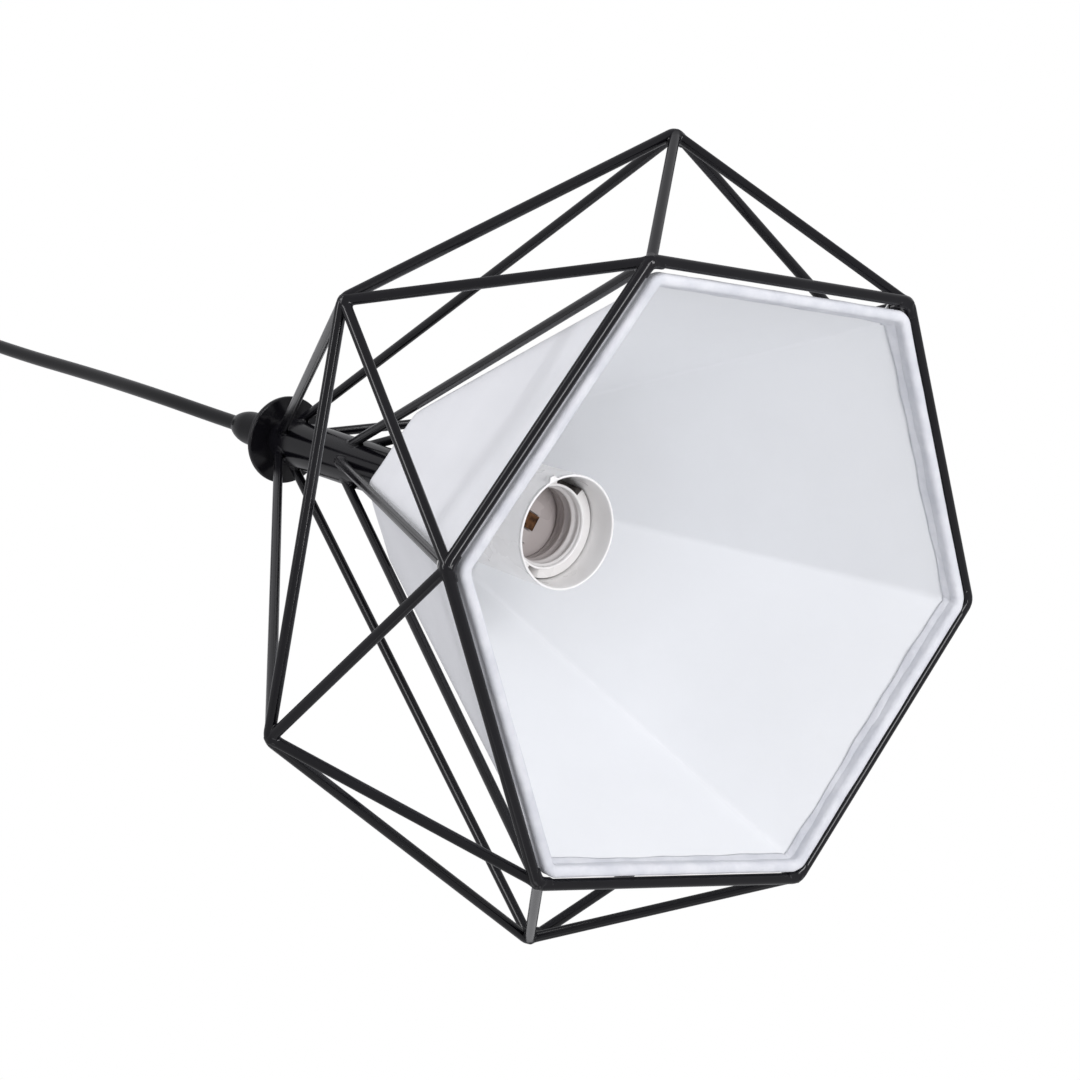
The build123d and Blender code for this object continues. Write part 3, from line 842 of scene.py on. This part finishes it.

# %% [markdown]
# A screw thread is a surface of revolution whose radius also depends on the turn: the radius
# at a height z and turn t is that of a ridge whose phase is z / pitch - t / one turn. The
# sleeve is one closed shell, down the threaded bore, round the lip and back up outside. Its
# web, the ring between the lip and the skirt, is sunk into two slots, and the faces in
# the slots are painted near black: painted shade.

# %% Threaded sleeve
sleeve_low, sleeve_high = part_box("thread_sleeve")
skirt_low, skirt_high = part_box("holder_skirt")
sleeve_r = (sleeve_high.y - sleeve_low.y) / 2
lip_z = sleeve_low.z
base_z = sleeve_high.z
pitch = 3.629 * mm
root_r = 13.4 * mm
crest_r = 12.35 * mm
deep_bore_r = 13.1 * mm
lip_r = 14.35 * mm
body_r = 15.0 * mm
lip_h = 0.4 * mm
web_t = 2.0 * mm
thread_len = 12.0 * mm
turn_steps = 144
turn_angle = np.linspace(0, 2 * pi, turn_steps, endpoint=False)[None, :]


def bore_radius(z, t):
    """The bore's radius: a rounded ridge of the thread's pitch, faded in and out at its ends.

    The ridge also stops beside the side contact, which needs room to spring outward.
    """
    along = z - lip_z
    phase = along / pitch - t / (2 * pi)
    ridge = (0.5 + 0.5 * np.cos(2 * pi * phase)) ** 1.25
    fade_in = np.clip((along - 1.2 * mm) / (1.6 * mm), 0, 1)
    fade = fade_in * np.clip((thread_len - along) / (1.2 * mm), 0, 1)
    clear = near_turn(270, 14) * np.clip((along - 8.0 * mm) / (1.0 * mm), 0, 1)
    return root_r - (root_r - crest_r) * ridge * fade * (1 - clear)


def lathe(radii, heights):
    """Rows of points from radii and heights, one row for each, or one value for each point."""
    r = np.broadcast_to(radii, (len(heights), turn_steps))
    z = np.broadcast_to(heights, (len(heights), turn_steps))
    return np.stack([r * np.cos(turn_angle), r * np.sin(turn_angle), z], axis=-1)


def near_turn(degrees_at, half_width, soft=2.0):
    """1 within half_width degrees of a turn angle, falling to 0 over `soft` degrees."""
    away = np.abs((np.degrees(turn_angle) - degrees_at + 180) % 360 - 180)
    return np.clip((half_width + soft - away) / soft, 0, 1)


lip_notch = 0.7 * mm * near_turn(12, 5) - 0.35 * mm * near_turn(-6, 7)
bore_z = np.linspace(lip_z + thread_len, lip_z + 0.7 * mm, 64)[:, None]
deep_bore = lathe(deep_bore_r, np.array([[base_z], [lip_z + thread_len + 0.2 * mm]]))
threaded = lathe(bore_radius(bore_z, turn_angle), bore_z)
lip_rows = lathe(
    lip_r + np.array([[-0.8], [-0.55], [-0.25], [-0.05], [0.0]]) * mm,
    lip_z + np.array([[0.25], [0.0], [0.0], [0.15], [0.4]]) * mm + lip_notch,
)
slots = np.maximum(near_turn(50, 17, 1.0), near_turn(224, 7, 1.0))
slot_depth = 9.0 * mm * slots
web_z = lip_z + lip_h
web_edge = 0.15 * mm
web_in_z = np.array([[web_z - web_edge], [web_z]]) + slot_depth
web_in = lathe(np.array([[lip_r], [lip_r + web_edge]]), web_in_z)
web_out_z = np.array([[web_z], [web_z + web_edge]]) + slot_depth
web_out = lathe(np.array([[sleeve_r - web_edge], [sleeve_r]]), web_out_z)
back_z = np.array([[web_z + web_t], [web_z + web_t], [base_z]])
back = lathe(
    np.array([[sleeve_r], [body_r], [body_r]]), back_z + slot_depth * np.array([[1.0], [1.0], [0.0]])
)
sleeve_points = np.concatenate([deep_bore, threaded, lip_rows, web_in, web_out, back])
thread_sleeve = surface(
    "threaded_bore", [sleeve_points], "lamp", wrap=(True, True), materials=[bore_plastic, slot_painted_shade]
)
first_web_row = len(deep_bore) + len(threaded) + len(lip_rows) - 1
face_row, face_turn = np.divmod(np.arange(len(thread_sleeve.data.polygons)), turn_steps)
in_slot = (slots[0][face_turn] > 0.0) & (face_row >= first_web_row)
thread_sleeve.data.polygons.foreach_set("material_index", in_slot.astype(np.int32))
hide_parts("thread_sleeve")
print("thread", round(thread_len / pitch, 1), "turns")

# %% [markdown]
# The skirt is moulded thin, with a rim rounded all the way over and a small catch beside the
# mouth. It is turned in the same way, and the catch is a rise in the radius over a few degrees
# that fades out above the rim.

# %% Lampholder skirt
mouth_z = skirt_low.z
skirt_top_z = skirt_high.z
mouth_r = skirt_high.y
rim_half = 0.42 * mm
catch_half_turn = 3.5
catch_rise = 1.3 * mm
catch_h = 4.0 * mm
rim_turn = np.linspace(0, pi, 9)[:, None]
rim_rows_r = mouth_r - rim_half + rim_half * np.cos(rim_turn)
rim_rows_z = mouth_z + rim_half - rim_half * np.sin(rim_turn)
outer_z = np.linspace(skirt_top_z, mouth_z + rim_half, 30)[:, None]
taper = 0.6 * mm / (skirt_top_z - mouth_z)
catch = near_turn(0, catch_half_turn, 1.5)
faded = catch * np.clip((catch_h - (outer_z - mouth_z)) / (0.8 * mm), 0, 1)
outer_rows = lathe(mouth_r - taper * (outer_z - mouth_z) + catch_rise * faded, outer_z)
rim_rows = lathe(rim_rows_r + catch_rise * catch * np.cos(rim_turn / 2) ** 2, rim_rows_z)
inner_z = np.linspace(mouth_z + 1.2 * mm, skirt_top_z, 20)[:, None]
inner_wall = np.clip(0.9 + (inner_z - mouth_z) / mm * 0.04, 0.9, 1.3) * mm
inner_rows = lathe(mouth_r - taper * (inner_z - mouth_z) - inner_wall, inner_z)
skirt_points = np.concatenate([outer_rows, rim_rows, inner_rows])[::-1]
skirt = surface("thin_skirt", [skirt_points], "lamp", wrap=(True, True), materials=[holder_plastic])
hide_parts("holder_skirt")
print("skirt", round((skirt_top_z - mouth_z) / mm, 1), "mm long")

# %% [markdown]
# Each wire end is welded to what it meets. At the neck the powder coat rounds the weld into a
# small fillet: the crease runs where the wire's cylinder enters the tube, and a closed profile
# is carried round it, up the wire, across a hollow curve and out along the tube. At a corner of
# the cage five wires meet, and the fused metal is one lump that follows them all.

# %% Welds
wire_r = 1.7 * mm


def unit(v):
    """A vector, or rows of vectors, at length one."""
    return v / np.linalg.norm(v, axis=-1, keepdims=True)


def weld_fillet(start, way, post_point, post_way, post_r, leg, seed, steps=40, wire=wire_r):
    """A fillet round a wire that leaves a straight post.

    start and way are the wire's axis where it leaves and its direction, post_point and
    post_way the post's axis. For each turn t about the wire, the line start + wire_r e(t)
    + s way meets the post's cylinder at the crease.
    """
    way, post_way = unit(np.array(way)), unit(np.array(post_way))
    side = unit(np.cross(way, post_way))
    over = np.cross(side, way)
    t = np.linspace(0, 2 * pi, steps, endpoint=False)[:, None]
    radial = np.cos(t) * side + np.sin(t) * over
    foot = np.array(start) + wire * radial - np.array(post_point)
    foot_flat = foot - (foot @ post_way)[:, None] * post_way
    way_flat = way - (way @ post_way) * post_way
    a = way_flat @ way_flat
    b = foot_flat @ way_flat
    c = (foot_flat**2).sum(1) - post_r**2
    s = (-b + np.sqrt(np.maximum(b * b - a * c, 0))) / a
    crease = foot + s[:, None] * way
    uneven = 1 + 0.22 * np.sin(2 * t + seed) + 0.12 * np.sin(5 * t + 2.3 * seed)
    on_wire = crease + leg * uneven * way
    beyond = crease + leg * uneven * radial
    beyond_axis = (beyond @ post_way)[:, None] * post_way
    on_post = beyond_axis + post_r * unit(beyond - beyond_axis)
    inside_wire = on_wire - 0.25 * mm * radial
    inside_post = on_post - 0.25 * mm * unit(on_post - beyond_axis)
    share = np.linspace(0, 1, 7)[:, None, None]
    pull = 0.62 * crease + 0.38 * (on_wire + on_post) / 2
    hollow = (1 - share) ** 2 * on_wire + 2 * share * (1 - share) * pull + share**2 * on_post
    rows = np.concatenate([inside_wire[None], hollow, inside_post[None]])
    return rows + np.array(post_point)


waist_low, waist_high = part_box("waist_ring")
waist_wire_r = (waist_high.z - waist_low.z) / 2
waist_z = (waist_high.z + waist_low.z) / 2
waist_r = (waist_high.x - waist_wire_r) * corner_share
neck_low, neck_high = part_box("neck_tube")
neck_r = (neck_high.x - neck_low.x) / 2
ring_bend_r = 4.2 * mm
crown_weld_z = neck_high.z - 4.5 * mm
shade_weld_z = rim_z + 198.5 * mm


def corners(radius, first_angle, z):
    """The six corners of a level hexagon."""
    a = np.radians(first_angle + 60 * np.arange(6))
    return np.stack([radius * np.cos(a), radius * np.sin(a), np.full(6, z)], axis=1)


def weld_lump(centre, ways, radii, seed, reach=5.0 * mm):
    """The fused metal where wires meet, as one closed lump round their common point.

    At an angle a from a wire its skin is radius / sin(a) away, and at most `reach`. Behind the
    wire's end the skin falls to about half the radius. The lump's own radius is the power sum of
    all the skins, so it follows each wire and fills the corners between them with a web.
    """
    polar = np.linspace(0, pi, 56)[:, None]
    around = np.linspace(0, 2 * pi, 96, endpoint=False)[None, :]
    x, y = np.sin(polar) * np.cos(around), np.sin(polar) * np.sin(around)
    direction = np.stack([x, y, np.broadcast_to(np.cos(polar), x.shape)], axis=-1)
    total = np.zeros(x.shape)
    for way, radius in zip(ways, radii):
        cosine = direction @ unit(np.array(way))
        sine = np.sqrt(np.maximum(1 - cosine**2, (radius / reach) ** 2))
        total += np.where(cosine > 0, radius / sine, radius * (1 + 0.45 * cosine)) ** 5.0
    ripple = np.sin(5 * x + seed) * np.sin(4 * y + 2 * seed) * np.sin(4 * direction[..., 2] + seed)
    distance = total ** (1 / 5.0) - 0.1 * mm + 0.12 * mm * ripple
    return np.array(centre) + direction[::-1] * distance[::-1, :, None]


bent_back = ring_bend_r * (corner_share - 1)
rim_bends = corners(rim_r - bent_back, 0, rim_z)
waist_bends = corners(waist_r - bent_back, 30, waist_z)
crown_tops = corners(neck_r - wire_r, 30, crown_weld_z)
shade_tops = corners(neck_r - 0.6 * mm, 0, shade_weld_z)
fillets, lumps = [], []
for i in range(6):
    rim_sides = [rim_bends[i - 1] - rim_bends[i], rim_bends[(i + 1) % 6] - rim_bends[i]]
    rim_braces = [waist_bends[i] - rim_bends[i], waist_bends[i - 1] - rim_bends[i]]
    rim_ways = [*rim_sides, *rim_braces, shade_tops[i] - rim_bends[i]]
    lumps.append(weld_lump(rim_bends[i], rim_ways, [rim_wire_r] * 2 + [wire_r] * 3, i + 0.4))
    waist_sides = [waist_bends[i - 1] - waist_bends[i], waist_bends[(i + 1) % 6] - waist_bends[i]]
    waist_braces = [rim_bends[i] - waist_bends[i], rim_bends[(i + 1) % 6] - waist_bends[i]]
    waist_ways = [*waist_sides, *waist_braces, crown_tops[i] - waist_bends[i]]
    lumps.append(weld_lump(waist_bends[i], waist_ways, [waist_wire_r] * 2 + [wire_r] * 3, i + 2.1))
    for top, foot in ((crown_tops[i], waist_bends[i]), (shade_tops[i], rim_bends[i])):
        axis_point = np.array([0, 0, top[2]])
        fillets.append(weld_fillet(top, foot - top, axis_point, (0, 0, 1), neck_r, 1.3 * mm, i + 4.2))


joints = surface("cage_welds", lumps, "lamp", wrap=(False, True), materials=[coat])
merged = bmesh.new()
merged.from_mesh(joints.data)
bmesh.ops.remove_doubles(merged, verts=merged.verts, dist=0.001 * mm)
merged.to_mesh(joints.data)
merged.free()
welds = surface("neck_welds", fillets, "lamp", wrap=(True, True), materials=[coat])
print(len(lumps), "cage welds and", len(fillets), "neck welds")

# %% [markdown]
# The room is plain: a white world and a pale floor far below. Two broad lamps above the picture
# and one at its right light the shade, and don't show in the wires. Two narrow ones, right and
# left, draw the long glints on the wires, and a weak one lights them from below. The world is
# white to the camera, and about half as strong as light.

# %% World, floor and lamps
scene = bpy.context.scene
scene.view_settings.view_transform = "Standard"
world = bpy.data.worlds.new("room")
scene.world = world
world.use_nodes = True
sky = world.node_tree
background = sky.nodes["Background"]
rays = node_of(sky, "ShaderNodeLightPath")
seen = maths(sky, "MAXIMUM", rays.outputs["Is Camera Ray"], rays.outputs["Is Transmission Ray"])
room_light = 0.5
sky.links.new(mixed(sky, "FLOAT", seen, room_light, 1.0), background.inputs["Strength"])
room_colour = mixed(sky, "RGBA", seen, rgb(0.97, 0.97, 1.0), rgb(1.0, 1.0, 1.0))
sky.links.new(room_colour, background.inputs["Color"])

floor_z = -2.6
floor_half = 30.0
floor_finish = finish(
    "pale_floor",
    (rgb(0.90, 0.90, 0.90), rgb(0.91, 0.91, 0.91)),
    (0.8, 0.85),
    fine=300.0,
    coarse=2.0,
    bump=0.02,
)
floor_mesh = bpy.data.meshes.new("floor")
floor_corners = [(x, y, floor_z) for x, y in ((-1, -1), (1, -1), (1, 1), (-1, 1))]
floor_corners = [(x * floor_half, y * floor_half, z) for x, y, z in floor_corners]
floor_mesh.from_pydata(floor_corners, [], [(0, 1, 2, 3)])
floor_mesh.materials.append(floor_finish)
floor = bpy.data.objects.new("floor", floor_mesh)
scene.collection.objects.link(floor)

lamp_middle = Vector((0, 0, rim_z + 0.08))


def soft_lamp(name, direction, distance, width, height, power):
    """A rectangular lamp that faces the lamp's middle, its height along the picture's up."""
    light = bpy.data.lights.new(name, "AREA")
    light.shape = "RECTANGLE"
    light.size, light.size_y = width, height
    light.energy = power
    light.color = (0.985, 0.98, 1.0)
    back = Vector(direction).normalized()
    across = picture_up.cross(back).normalized()
    turned = Matrix((across, back.cross(across), back)).transposed().to_4x4()
    holder = bpy.data.objects.new(name, light)
    holder.matrix_world = Matrix.Translation(lamp_middle + back * distance) @ turned
    scene.collection.objects.link(holder)
    return holder


toward_camera = -looks_along
key_way = toward_camera + picture_up * 0.8 + picture_right * 0.3
key = soft_lamp("key", key_way, 1.6, 0.8, 0.8, 1.6)
key.visible_glossy = False
top = soft_lamp("top", picture_up + toward_camera * 0.5 - picture_right * 0.5, 1.5, 1.2, 0.6, 5.0)
top.visible_glossy = False
fill = soft_lamp("fill", toward_camera * 0.8 + picture_right * 0.6, 1.6, 1.0, 1.2, 5.0)
fill.visible_glossy = False
soft_lamp("right", toward_camera * 0.78 + picture_right * 0.62 + picture_up * 0.05, 1.4, 0.24, 1.2, 9.5)
soft_lamp("left", toward_camera * 0.42 - picture_right * 0.8 + picture_up * 0.42, 1.4, 0.3, 1.3, 6.5)
soft_lamp("bottom", toward_camera * 0.4 - picture_up, 1.5, 1.2, 0.4, 1.4)
print("room ready")
